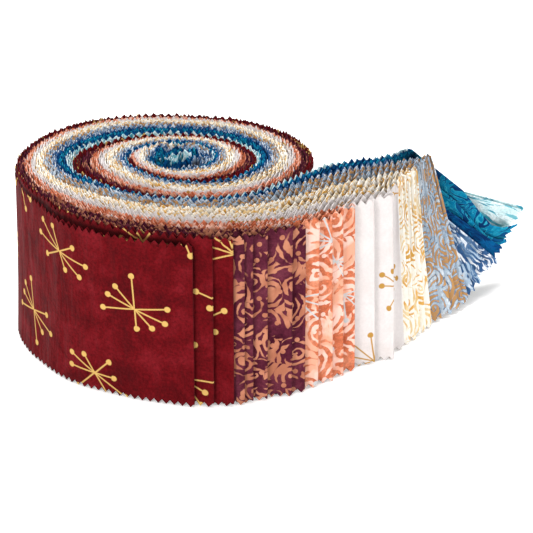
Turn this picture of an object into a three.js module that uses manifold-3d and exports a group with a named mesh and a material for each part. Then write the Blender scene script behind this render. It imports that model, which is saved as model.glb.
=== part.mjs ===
// Roll of quilting fabric strips.
// A stack of pinked cotton strips, folded in half, is wound into a roll that stands on its edge,
// and the loose ends of the strips lie in a curved tail that opens into a fan.
// Millimetres, +Z up. The origin is the eye of the winding, on the underside.

import * as THREE from 'three';
import { mergeVertices } from 'three/addons/utils/BufferGeometryUtils.js';
import Module from 'manifold-3d';

// Driving dimensions

const STRIP_WIDTH = 63.5;
const TOOTH_PITCH = 3.2;
const TOOTH_DEPTH = 1.5;
const TURN_GAP = 0.4;
const SHEET_GAP = 0.36;
const FACE_THICKNESS = 28.8;

// Radius of the outer side of the stack, at eight bearings of each turn.
const TURNS = [
  {
    right: 13.0, backRight: 13.8, back: 13.4, backLeft: 14.2,
    left: 17.6, frontLeft: 16.4, front: 20.0, frontRight: 26.3,
  },
  {
    right: 29.3, backRight: 25.4, back: 23.2, backLeft: 27.8,
    left: 37.0, frontLeft: 34.6, front: 38.2, frontRight: 45.2,
  },
  {
    right: 50.0, backRight: 45.4, back: 42.4, backLeft: 50.4,
    left: 58.4, frontLeft: 59.6, front: 69.0, frontRight: 82.0,
  },
];
const BEARING_STEP = 45;

// Angles along the winding, in degrees, counted on from the right of the first turn.
const STACK_START = 180;
const SLOT_START = 360;
const FACE_ANGLE = 975;
const FACE_SKEW = -4;
const FACE_SKEW_FROM = 930;
const TAIL_LEAVES = 685;

// Height of the top across the stack: the outermost strips sit lowest.
const CROWN = [
  { across: 0, lift: 0 },
  { across: 0.25, lift: 0.8 },
  { across: 0.6, lift: 1.2 },
  { across: 1, lift: 0.4 },
];
const FLAT_FROM = 0.08;

// The crumpled middle of the roll.
const HUB = { spokes: 60, rings: 4, overlap: 3, foldHeight: 1, sink: 2.8, folds: 7, startRadius: 6, endStep: 1.2 };

// Heading of the tail's back face after it leaves the roll.
const TAIL_BENDS = [
  { along: 0, heading: 45.5 },
  { along: 16, heading: 45 },
  { along: 30, heading: 38 },
  { along: 50, heading: 36 },
  { along: 62, heading: 31 },
  { along: 160, heading: 31 },
];

// Thickness that the whole stack would have along the tail, at its foot and at its top.
const SPREAD = [
  { along: 0, foot: 28.8, top: 28.8 },
  { along: 18, foot: 30, top: 30 },
  { along: 33, foot: 37, top: 37 },
  { along: 48, foot: 46, top: 46 },
  { along: 65, foot: 55, top: 55 },
  { along: 76, foot: 60, top: 60 },
  { along: 90, foot: 57, top: 52 },
  { along: 104, foot: 56, top: 44 },
  { along: 116, foot: 56, top: 40 },
  { along: 180, foot: 54, top: 38 },
];

// Share of that spreading that thickens each sheet; the rest opens the gaps between them.
const SHEET_THICKENING = 0.45;

// The loose ends, from the front of the stack to the back. A strip runs straight to its pivot,
// and there it turns down in its own plane by its swing, as a card does in a hand of cards.
const LOOSE_ENDS = [
  { name: 'burgundy_strip_1', colour: '#7a1e29', pivot: 18, swing: 0, sink: 0, lift: 0 },
  { name: 'burgundy_strip_2', colour: '#6c1620', pivot: 22, swing: 0, sink: 0, lift: 0.6 },
  { name: 'burgundy_strip_3', colour: '#7a1e29', pivot: 26, swing: 0, sink: 0, lift: 0 },
  { name: 'plum_strip_1', colour: '#8d5049', pivot: 31.5, swing: 0, sink: 0, lift: 0.4 },
  { name: 'plum_strip_2', colour: '#8d5049', pivot: 36.5, swing: 0, sink: 0, lift: 0 },
  { name: 'plum_strip_3', colour: '#63303f', pivot: 39.5, swing: 0, sink: 0, lift: 0.3 },
  { name: 'orange_strip_1', colour: '#d28b70', pivot: 43, swing: 0, sink: 0, lift: 0 },
  { name: 'orange_strip_2', colour: '#cf7a5c', pivot: 47.5, swing: 0.5, sink: 0, lift: 0.5 },
  { name: 'orange_strip_3', colour: '#d99d86', pivot: 55.5, swing: 0.8, sink: 0, lift: 0.2 },
  { name: 'white_strip_1', colour: '#f6f0f0', pivot: 64, swing: 1.2, sink: 0, lift: 0.5 },
  { name: 'white_strip_2', colour: '#f8f3f3', pivot: 73.5, swing: 2, sink: 0, lift: 0 },
  { name: 'white_strip_3', colour: '#f6f0f0', pivot: 82, swing: 3.5, sink: 0, lift: 0.4 },
  { name: 'cream_strip_1', colour: '#ece0bd', pivot: 94, swing: 4.5, sink: 0, lift: 0 },
  { name: 'cream_strip_2', colour: '#f2ead2', pivot: 102, swing: 6, sink: 0, lift: 0.3 },
  { name: 'blue_tan_strip_1', colour: '#b4b8bd', pivot: 109.5, swing: 13, sink: 0, lift: 0 },
  { name: 'blue_tan_strip_2', colour: '#a9bdd0', pivot: 113.3, swing: 15, sink: 0, lift: 0 },
  { name: 'slate_strip_1', colour: '#61799a', pivot: 99.5, swing: 41, sink: 4.5, lift: 0 },
  { name: 'slate_strip_2', colour: '#5a7396', pivot: 101, swing: 43.6, sink: 5.4, lift: 0 },
  { name: 'blue_strip_1', colour: '#0b4f8a', pivot: 105, swing: 44, sink: 4.6, lift: 0 },
  { name: 'teal_strip_1', colour: '#0a6b8f', pivot: 109, swing: 47, sink: 0, lift: 0 },
  { name: 'aqua_strip_1', colour: '#d3ebe6', pivot: 108.5, swing: 54, sink: 0, lift: 0 },
];
const PIVOT_RISE = 4;
const FAN_SWING = 20;
const FAN_ROWS = 2;

// Curves of the winding and the tail

const KNOTS = TURNS.flatMap((turn) => Object.values(turn));
const HALF_TOOTH = TOOTH_PITCH / 2;
// The smallest ledge that the joined stack and middle keep.
const SMALLEST_LEDGE = 0.03;
const FACE_LEAD = 0.32;
const TAIL_STEP = 1;
const TAIL_REACH = 140;

const radians = THREE.MathUtils.degToRad;

// The radius between the bearings follows a Catmull-Rom curve through the table.
function windingRadius(angle) {
  const place = angle / BEARING_STEP;
  const index = Math.min(Math.max(Math.floor(place), 0), KNOTS.length - 2);
  const part = place - index;
  const before = KNOTS[Math.max(index - 1, 0)];
  const start = KNOTS[index];
  const end = KNOTS[index + 1];
  const after = KNOTS[Math.min(index + 2, KNOTS.length - 1)];
  const slope = end - before;
  const bend = 2 * before - 5 * start + 4 * end - after;
  const twist = 3 * start - before - 3 * end + after;
  return 0.5 * (2 * start + slope * part + bend * part ** 2 + twist * part ** 3);
}

function polar(angle, radius) {
  return new THREE.Vector2(radius * Math.cos(radians(angle)), radius * Math.sin(radians(angle)));
}

// A named column of a table, read between its rows.
function readTable(rows, key, column, value) {
  const last = rows.length - 1;
  if (value <= rows[0][key]) return rows[0][column];
  if (value >= rows[last][key]) return rows[last][column];
  const next = rows.findIndex((row) => row[key] >= value);
  const low = rows[next - 1];
  const high = rows[next];
  return THREE.MathUtils.mapLinear(value, low[key], high[key], low[column], high[column]);
}

// Plan line of the tail's back face: round the roll to where it leaves, then by its headings.
function tailLine() {
  const points = [];
  for (let angle = FACE_ANGLE - 360; angle <= TAIL_LEAVES; angle += 1) {
    points.push(polar(angle, windingRadius(angle) + TURN_GAP));
  }
  const point = points[points.length - 1].clone();
  for (let along = 0; along < TAIL_REACH; along += TAIL_STEP) {
    const heading = radians(readTable(TAIL_BENDS, 'along', 'heading', along + TAIL_STEP / 2));
    point.add(new THREE.Vector2(Math.cos(heading), Math.sin(heading)).multiplyScalar(TAIL_STEP));
    points.push(point.clone());
  }
  const stations = [0];
  for (let i = 1; i < points.length; i += 1) {
    stations.push(stations[i - 1] + points[i].distanceTo(points[i - 1]));
  }
  return { points, stations };
}

const TAIL = tailLine();

// Direction of the line at one of its points.
function lineDirection(index) {
  const ahead = TAIL.points[Math.min(index + 1, TAIL.points.length - 1)];
  const behind = TAIL.points[Math.max(index - 1, 0)];
  return ahead.clone().sub(behind).normalize();
}

// Point at a distance along the tail and a depth in front of its back face.
function tailPoint(along, depth) {
  const found = TAIL.stations.findIndex((station) => station > along);
  const index = found < 0 ? TAIL.stations.length - 2 : Math.max(found - 1, 0);
  const span = TAIL.stations[index + 1] - TAIL.stations[index];
  const part = (along - TAIL.stations[index]) / span;
  const base = TAIL.points[index].clone().lerp(TAIL.points[index + 1], part);
  const direction = lineDirection(index).lerp(lineDirection(index + 1), part).normalize();
  return base.add(new THREE.Vector2(direction.y, -direction.x).multiplyScalar(depth));
}

// Meshes

// Joins closed sections of equal length into one closed body, with a flat cap at each end.
function loft(sections) {
  const size = sections[0].length;
  const positions = sections.flat().flatMap((p) => [p.x, p.y, p.z]);
  const faces = [];
  for (let i = 0; i < sections.length - 1; i += 1) {
    for (let j = 0; j < size; j += 1) {
      const a = i * size + j;
      const b = i * size + ((j + 1) % size);
      faces.push(a, b, b + size, a, b + size, a + size);
    }
  }
  const end = (sections.length - 1) * size;
  for (let low = 0, high = size - 1; low < high - 1; low += 1, high -= 1) {
    faces.push(low, high, low + 1, end + low, end + low + 1, end + high);
    if (low + 1 < high - 1) {
      faces.push(low + 1, high, high - 1, end + low + 1, end + high - 1, end + high);
    }
  }
  const geometry = new THREE.BufferGeometry();
  geometry.setAttribute('position', new THREE.Float32BufferAttribute(positions, 3));
  geometry.setIndex(faces);
  return geometry;
}

// Six times the volume that the faces enclose, negative where they point in.
function signedVolume(geometry) {
  const position = geometry.getAttribute('position');
  const index = geometry.getIndex();
  const corners = [new THREE.Vector3(), new THREE.Vector3(), new THREE.Vector3()];
  let total = 0;
  for (let i = 0; i < index.count; i += 3) {
    corners.forEach((corner, k) => corner.fromBufferAttribute(position, index.getX(i + k)));
    total += corners[0].dot(corners[1].clone().cross(corners[2]));
  }
  return total;
}

function facingOut(geometry) {
  if (signedVolume(geometry) < 0) {
    const index = geometry.getIndex();
    for (let i = 0; i < index.count; i += 3) {
      const first = index.getX(i);
      index.setX(i, index.getX(i + 1));
      index.setX(i + 1, first);
    }
  }
  return geometry;
}

// Angles along the winding, half a tooth apart on its outer side.
function windingColumns() {
  const angles = [STACK_START];
  while (angles[angles.length - 1] < FACE_ANGLE) {
    const angle = angles[angles.length - 1];
    const next = angle + THREE.MathUtils.radToDeg(HALF_TOOTH / windingRadius(angle));
    angles.push(next < SLOT_START && SLOT_START - angle < 2 * (next - angle) ? SLOT_START : next);
  }
  angles[angles.length - 1] = FACE_ANGLE;
  return angles;
}

// One section across the wound stack: flat underneath, pinked at its outer foot and over its top.
// The last one is the face that the loose ends leave, square to the tail.
function stackSection(angle, column) {
  const outer = windingRadius(angle);
  const inner = angle <= SLOT_START ? HUB.startRadius : windingRadius(angle - 360) + TURN_GAP;
  const skew = FACE_SKEW * THREE.MathUtils.smoothstep(angle, FACE_SKEW_FROM, FACE_ANGLE);
  const place = (across, height) => {
    const plan = angle === FACE_ANGLE
      ? tailPoint(0, FACE_THICKNESS * (1 - across))
      : polar(angle + skew * (1 - across), THREE.MathUtils.lerp(outer, inner, across));
    return new THREE.Vector3(plan.x, plan.y, height);
  };
  const notch = (row) => ((column + row) % 2 ? TOOTH_DEPTH : 0);
  const crown = CROWN.map(({ across, lift }, row) => place(across, STRIP_WIDTH + lift - notch(row)));
  return [place(FLAT_FROM, 0), place(0, notch(0)), ...crown, place(1, 0)];
}

function hubRadius(angle) {
  if (angle <= STACK_START) {
    const step = HUB.endStep * THREE.MathUtils.smoothstep(angle, STACK_START - BEARING_STEP, STACK_START);
    return windingRadius(angle) - step;
  }
  return windingRadius(angle) - HUB.overlap;
}

// The crumpled middle: a disc of soft radial folds that fills the first turn.
function hubGeometry() {
  const positions = [0, 0, 0, 0, 0, STRIP_WIDTH - HUB.sink];
  const faces = [];
  const spokeSize = HUB.rings + 1;
  for (let spoke = 0; spoke < HUB.spokes; spoke += 1) {
    const angle = ((spoke + 0.5) * 360) / HUB.spokes;
    const rim = polar(angle, hubRadius(angle));
    positions.push(rim.x, rim.y, 0);
    for (let ring = 1; ring <= HUB.rings; ring += 1) {
      const part = ring / HUB.rings;
      const fold = Math.sin(radians(angle * HUB.folds) + 4 * part) * Math.sin(Math.PI * part ** 0.7);
      positions.push(rim.x * part, rim.y * part, STRIP_WIDTH - HUB.sink + HUB.foldHeight * fold);
    }
    const here = 2 + spoke * spokeSize;
    const next = 2 + ((spoke + 1) % HUB.spokes) * spokeSize;
    faces.push(0, next, here);
    faces.push(here, next, next + HUB.rings, here, next + HUB.rings, here + HUB.rings);
    for (let ring = HUB.rings; ring > 1; ring -= 1) {
      faces.push(here + ring, next + ring, next + ring - 1, here + ring, next + ring - 1, here + ring - 1);
    }
    faces.push(here + 1, next + 1, 1);
  }
  const geometry = new THREE.BufferGeometry();
  geometry.setAttribute('position', new THREE.Float32BufferAttribute(positions, 3));
  geometry.setIndex(faces);
  return geometry;
}

const wasm = await Module();
wasm.setup();

function toManifold(geometry) {
  const merged = mergeVertices(geometry, 1e-5);
  return new wasm.Manifold(new wasm.Mesh({
    numProp: 3,
    vertProperties: new Float32Array(merged.getAttribute('position').array),
    triVerts: new Uint32Array(merged.getIndex().array),
  }));
}

function fromManifold(solid) {
  const mesh = solid.getMesh();
  const geometry = new THREE.BufferGeometry();
  geometry.setAttribute('position', new THREE.Float32BufferAttribute(mesh.vertProperties, 3));
  geometry.setIndex(Array.from(mesh.triVerts));
  return geometry;
}

function woundRollGeometry() {
  const stack = facingOut(loft(windingColumns().map(stackSection)));
  const hub = facingOut(hubGeometry());
  return fromManifold(toManifold(stack).add(toManifold(hub)).simplify(SMALLEST_LEDGE));
}

// A loose end is a thin sheet: straight columns to its pivot, then rays that swing about it.
function looseEndGeometry(end, order) {
  const pitch = 1 / LOOSE_ENDS.length;
  const share = 1 - order * pitch;
  const faceThickness = FACE_THICKNESS * pitch - SHEET_GAP;
  const footRadius = STRIP_WIDTH + PIVOT_RISE;
  const sheetPoint = (along, height, side) => {
    const heightPart = THREE.MathUtils.clamp(height / STRIP_WIDTH, 0, 1);
    const foot = readTable(SPREAD, 'along', 'foot', along);
    const top = readTable(SPREAD, 'along', 'top', along);
    const spread = THREE.MathUtils.lerp(foot, top, heightPart);
    const growth = 1 + SHEET_THICKENING * (spread / FACE_THICKNESS - 1);
    const depth = spread * share - side * faceThickness * growth;
    const plan = tailPoint(along, depth);
    return new THREE.Vector3(plan.x, plan.y, height);
  };
  const column = (pivot, swing, sink, footNotch, topNotch) => {
    const ray = (radius, side) => sheetPoint(
      pivot + radius * Math.sin(swing),
      STRIP_WIDTH + PIVOT_RISE + end.lift - radius * Math.cos(swing) - sink,
      side,
    );
    const rows = end.swing > FAN_SWING ? FAN_ROWS : 1;
    const radii = Array.from({ length: rows + 1 }, (_, row) => (
      THREE.MathUtils.lerp(footRadius - footNotch, PIVOT_RISE + topNotch, row / rows)
    ));
    const front = radii.map((radius) => ray(radius, 0)).reverse();
    const back = radii.map((radius) => ray(radius, 1));
    return [...front, ...back];
  };
  const sections = [];
  const straight = Math.ceil((end.pivot - FACE_LEAD) / HALF_TOOTH);
  for (let i = 0; i <= straight; i += 1) {
    const along = THREE.MathUtils.lerp(FACE_LEAD, end.pivot, i / straight);
    const notch = (i + order) % 2 ? TOOTH_DEPTH : 0;
    sections.push(column(along, 0, 0, notch, TOOTH_DEPTH - notch));
  }
  const swing = radians(end.swing);
  const rays = Math.ceil((footRadius * swing) / HALF_TOOTH);
  for (let i = 1; i <= rays; i += 1) {
    const part = i / rays;
    const notch = (straight + i + order) % 2 ? TOOTH_DEPTH : 0;
    sections.push(column(end.pivot, swing * part, end.sink * part ** 2, notch, TOOTH_DEPTH / 2));
  }
  return facingOut(loft(sections));
}

// Assembly

function clothMaterial(colour) {
  return new THREE.MeshStandardMaterial({ color: colour, roughness: 0.85, metalness: 0 });
}

function addPiece(group, name, geometry, colour) {
  const mesh = new THREE.Mesh(geometry, clothMaterial(colour));
  mesh.name = name;
  group.add(mesh);
}

const roll = new THREE.Group();
addPiece(roll, 'wound_roll', woundRollGeometry(), '#731923');
LOOSE_ENDS.forEach((end, order) => {
  addPiece(roll, end.name, looseEndGeometry(end, order), end.colour);
});

export default roll;
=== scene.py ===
"""Roll of quilting fabric strips: forty folded strips of batik cotton, with their ends fanned out.

Sizes are in millimetres, and a mesh is turned to metres when it is made. The origin is the eye of
the winding on the underside, X runs along the tail and Z is up.
"""

from __future__ import annotations

import logging
from dataclasses import dataclass, field
from enum import Enum
from math import pi, radians

import bpy
import numpy as np
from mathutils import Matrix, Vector

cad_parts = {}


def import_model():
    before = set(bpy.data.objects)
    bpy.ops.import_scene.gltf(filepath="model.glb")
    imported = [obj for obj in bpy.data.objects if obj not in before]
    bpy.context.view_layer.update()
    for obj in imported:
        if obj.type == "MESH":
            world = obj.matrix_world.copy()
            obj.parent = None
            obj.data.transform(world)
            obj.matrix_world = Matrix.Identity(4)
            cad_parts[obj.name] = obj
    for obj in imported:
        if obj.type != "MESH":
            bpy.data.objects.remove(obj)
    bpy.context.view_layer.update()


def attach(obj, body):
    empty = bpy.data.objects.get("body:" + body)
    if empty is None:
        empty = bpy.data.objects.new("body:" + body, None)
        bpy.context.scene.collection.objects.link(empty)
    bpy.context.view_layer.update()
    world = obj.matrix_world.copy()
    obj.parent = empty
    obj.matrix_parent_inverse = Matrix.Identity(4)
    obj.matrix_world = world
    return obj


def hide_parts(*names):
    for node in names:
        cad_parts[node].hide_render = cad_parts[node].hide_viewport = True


log = logging.getLogger("fabric_roll")

Array = np.ndarray
Socket = bpy.types.NodeSocket
Pair = tuple[float, float]
# Each row is a place and the value there.
Table = tuple[Pair, ...]

MM = 0.001
CLOTH_PLACE = "cloth_mm"
STRIP_LENGTH = 1118.0
# Each strip's place on the cloth starts this much further along, so that no two look the same.
RUN_STEP = 1.5 * STRIP_LENGTH
# A Mix node takes its two colours at these inputs, and gives a colour at this output.
FROM, TO = 6, 7
COLOUR_MIX = {"output": 2, "data_type": "RGBA"}
# The noises are drawn on the flat cloth.
FLAT = {"noise_dimensions": "2D"}
FIRST_SEED = 500


def linear(colour: str) -> tuple[float, float, float, float]:
    """Turns an sRGB hex colour to linear light.

    Args:
        colour: Six hex digits after a hash sign.

    Returns:
        Red, green, blue and an alpha of one.
    """
    levels = [int(colour[i : i + 2], 16) / 255 for i in (1, 3, 5)]
    red, green, blue = ((c / 12.92) if c <= 0.04045 else ((c + 0.055) / 1.055) ** 2.4 for c in levels)
    return (red, green, blue, 1.0)


def smoothstep(low: float, high: float, value: Array) -> Array:
    """Eases from 0 at low to 1 at high."""
    part = np.clip((value - low) / (high - low), 0, 1)
    return part * part * (3 - 2 * part)


def read_table(rows: Table, value: Array) -> Array:
    """Reads a table between its rows."""
    return np.interp(value, *zip(*rows))


def polar(angle: Array, radius: Array) -> Array:
    """Plan points from bearings in degrees and radii."""
    turned = np.radians(angle)
    return np.stack([radius * np.cos(turned), radius * np.sin(turned)], axis=-1)


def add_object(name: str, data: bpy.types.ID) -> bpy.types.Object:
    """Adds an object to the scene.

    Args:
        name: Its name.
        data: Its mesh, light or camera.

    Returns:
        The object.
    """
    thing = bpy.data.objects.new(name, data)
    bpy.context.collection.objects.link(thing)
    return thing


# Camera, floor and light


@dataclass(frozen=True)
class SoftBox:
    """A square soft box: its place and side in metres, and its power in watts."""

    name: str
    place: tuple[float, float, float]
    side: float
    power: float


@dataclass
class Studio:
    """The photograph's viewpoint, a pale floor and soft light."""

    camera_place: tuple[float, float, float] = (0.03265, -0.83376, 0.4095)
    camera_pitch: float = 25.0
    focal_length: float = 168.86
    sensor_width: float = 36.0
    clip_start: float = 0.01
    floor_side: float = 8.0
    floor_colour: str = "#fbfaf9"
    floor_glow: float = 0.4
    floor_roughness: float = 0.9
    sky_colour: str = "#ffffff"
    sky_strength: float = 0.27
    aim: tuple[float, float, float] = (0.03, 0, 0.03)
    soft_boxes: tuple[SoftBox, ...] = (
        SoftBox("key_soft_box", (-0.5, -0.95, 0.7), 0.3, 6.8),
        SoftBox("fill_soft_box", (0.9, -0.9, 0.6), 0.8, 2.8),
        SoftBox("ceiling_soft_box", (0.05, 0.15, 1.6), 0.7, 30.0),
    )

    def place_camera(self) -> None:
        """Makes the scene's camera, which looks along +Y and down by its pitch."""
        data = bpy.data.cameras.new("product_camera")
        data.lens = self.focal_length
        data.sensor_width = self.sensor_width
        data.clip_start = self.clip_start
        camera = add_object("product_camera", data)
        camera.location = self.camera_place
        camera.rotation_euler = (radians(90 - self.camera_pitch), 0, 0)
        bpy.context.scene.camera = camera

    def lay_floor(self) -> None:
        """Makes the pale lit floor as a stage."""
        half = self.floor_side / 2
        mesh = bpy.data.meshes.new("floor")
        corners = [(-half, -half, 0), (half, -half, 0), (half, half, 0), (-half, half, 0)]
        mesh.from_pydata(corners, [], [(0, 1, 2, 3)])
        # Opal acrylic lit from below, as on a table for product pictures: matt, almost white, and
        # with only faint shadows.
        acrylic = bpy.data.materials.new("sanded_opal_acrylic")
        acrylic.use_nodes = True
        shader = acrylic.node_tree.nodes["Principled BSDF"]
        shader.inputs["Base Color"].default_value = linear(self.floor_colour)
        shader.inputs["Roughness"].default_value = self.floor_roughness
        shader.inputs["Emission Color"].default_value = linear(self.floor_colour)
        shader.inputs["Emission Strength"].default_value = self.floor_glow
        mesh.materials.append(acrylic)
        add_object("floor", mesh)

    def hang_light(self, box: SoftBox) -> None:
        """Hangs a soft box that faces the roll."""
        data = bpy.data.lights.new(box.name, "AREA")
        data.size = box.side
        data.energy = box.power
        light = add_object(box.name, data)
        light.location = box.place
        aim = Vector(self.aim) - Vector(box.place)
        light.rotation_euler = aim.to_track_quat("-Z", "Y").to_euler()

    def light_up(self) -> None:
        """Sets the sky and hangs the soft boxes."""
        world = bpy.data.worlds.new("white_room")
        world.use_nodes = True
        sky = world.node_tree.nodes["Background"]
        sky.inputs["Color"].default_value = linear(self.sky_colour)
        sky.inputs["Strength"].default_value = self.sky_strength
        bpy.context.scene.world = world
        for box in self.soft_boxes:
            self.hang_light(box)
        bpy.context.scene.view_settings.view_transform = "Standard"

    def build(self) -> None:
        """Sets up the whole studio."""
        self.place_camera()
        self.lay_floor()
        self.light_up()


# Materials


@dataclass
class ClothNodes:
    """A cloth's node tree, and the place on the flat cloth that its nodes read.

    The place is in millimetres, and its third number says how closely the neighbours cover it,
    which weights the painted shade between the turns.
    """

    tree: bpy.types.NodeTree
    place: Socket = field(init=False)

    def __post_init__(self) -> None:
        """Reads the place from the mesh."""
        self.place = self.add("Attribute", [], output="Vector", attribute_name=CLOTH_PLACE)

    def add(
        self,
        kind: str,
        inputs: list | dict[int | str, object],
        output: int | str = 0,
        **settings: object,
    ) -> Socket:
        """Adds a node with its settings and links.

        Args:
            kind: The shader node's type without its prefix, and the operation of one that has it.
            inputs: The inputs in order, or by name: a value, or the socket that feeds it.
            output: The output that is wanted.
            **settings: Properties of the node itself.

        Returns:
            The wanted output socket.
        """
        kind, _, operation = kind.partition(" ")
        node = self.tree.nodes.new("ShaderNode" + kind)
        if operation:
            node.operation = operation
        for name, value in settings.items():
            setattr(node, name, value)
        named = inputs if isinstance(inputs, dict) else dict(enumerate(inputs))
        for name, value in named.items():
            if isinstance(value, Socket):
                self.tree.links.new(value, node.inputs[name])
            else:
                node.inputs[name].default_value = value
        return node.outputs[output]


class Figure(Enum):
    """How the wax-resist figures of a batik are drawn."""

    PLAIN = "plain"
    SCROLLS = "scrolls"
    STREAKS = "streaks"
    CURRENTS = "currents"


@dataclass(frozen=True)
class StarPrint:
    """Metallic ink starbursts: thin rays from a point, each with a ball at its tip."""

    ink: str = "#d2ab62"
    spacing: float = 37.0
    wander: float = 7.0
    grid_turn: float = 27.0
    rays: int = 8
    ray_width: float = 0.55
    ball_width: float = 2.2
    shortest: float = 7.0
    longest: float = 14.5
    share_of_cells: float = 1.0
    gather: float = 0.4
    soft_edge: float = 0.12

    def mask(self, nodes: ClothNodes) -> Socket:
        """Draws the starbursts, one in each cell of a grid.

        Args:
            nodes: The material's nodes.

        Returns:
            A socket that is 1 on the ink and 0 off it.
        """
        blur = self.soft_edge
        scaled = nodes.add(
            "Mapping",
            {
                "Vector": nodes.place,
                "Rotation": (0, 0, radians(self.grid_turn)),
                "Scale": (1 / self.spacing,) * 3,
            },
        )
        cell = nodes.add("VectorMath FLOOR", [scaled])
        chance = nodes.add("TexWhiteNoise", {"Vector": cell}, output="Color", noise_dimensions="3D")
        turn = nodes.add(
            "TexWhiteNoise", {"Vector": cell, "W": 3.0}, output="Value", noise_dimensions="4D"
        )
        part = nodes.add("VectorMath FRACTION", [scaled])
        middle = nodes.add("VectorMath SUBTRACT", [part, (0.5, 0.5, 0)])
        near = nodes.add("VectorMath SCALE", {0: middle, "Scale": self.spacing})
        shift = nodes.add("VectorMath SUBTRACT", [chance, (0.5, 0.5, 0.5)])
        moved = nodes.add("VectorMath MULTIPLY_ADD", [shift, (self.wander,) * 3, near])
        apart = nodes.add("SeparateXYZ", [moved])
        along, across = apart, apart.node.outputs[1]
        flat = nodes.add("CombineXYZ", [along, across, 0.0])
        reach = nodes.add("VectorMath LENGTH", [flat], output="Value")
        bearing = nodes.add("Math ARCTAN2", [across, along])
        double = nodes.add("Math MULTIPLY", [bearing, 2.0])
        swell = nodes.add("Math SINE", [double])
        gathered = nodes.add("Math MULTIPLY_ADD", [swell, self.gather, bearing])
        counted = nodes.add("Math MULTIPLY_ADD", [gathered, self.rays / (2 * pi), turn])
        nearest = nodes.add("Math ROUND", [counted])
        off = nodes.add("Math SUBTRACT", [counted, nearest])
        turned = nodes.add("Math MULTIPLY", [off, 2 * pi / self.rays])
        crowding = nodes.add("Math COSINE", [double])
        stretch = nodes.add("Math MULTIPLY_ADD", [crowding, 2 * self.gather, 1.0])
        true_turn = nodes.add("Math DIVIDE", [turned, stretch])
        aside = nodes.add("Math MULTIPLY", [true_turn, reach])
        ray = nodes.add("Math FLOORED_MODULO", [nearest, float(self.rays)])
        luck = nodes.add(
            "TexWhiteNoise", {"Vector": cell, "W": ray}, output="Value", noise_dimensions="4D"
        )
        length = nodes.add("MapRange", {0: luck, 3: self.shortest, 4: self.longest})
        beyond = nodes.add("Math SUBTRACT", [reach, length])
        tip = nodes.add("CombineXYZ", [beyond, aside, 0.0])
        from_tip = nodes.add("VectorMath LENGTH", [tip], output="Value")
        width = nodes.add("Math ABSOLUTE", [aside])
        ball, line = (
            nodes.add("MapRange", [off_by, half - blur, half + blur, 1.0, 0.0])
            for off_by, half in ((from_tip, self.ball_width / 2), (width, self.ray_width / 2))
        )
        inside = nodes.add("Math LESS_THAN", [beyond, 0.0])
        shown = nodes.add("Math MULTIPLY", [line, inside])
        star = nodes.add("Math MAXIMUM", [shown, ball])
        here = nodes.add("Math LESS_THAN", [chance.node.outputs["Value"], self.share_of_cells])
        return nodes.add("Math MULTIPLY", [star, here])


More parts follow.
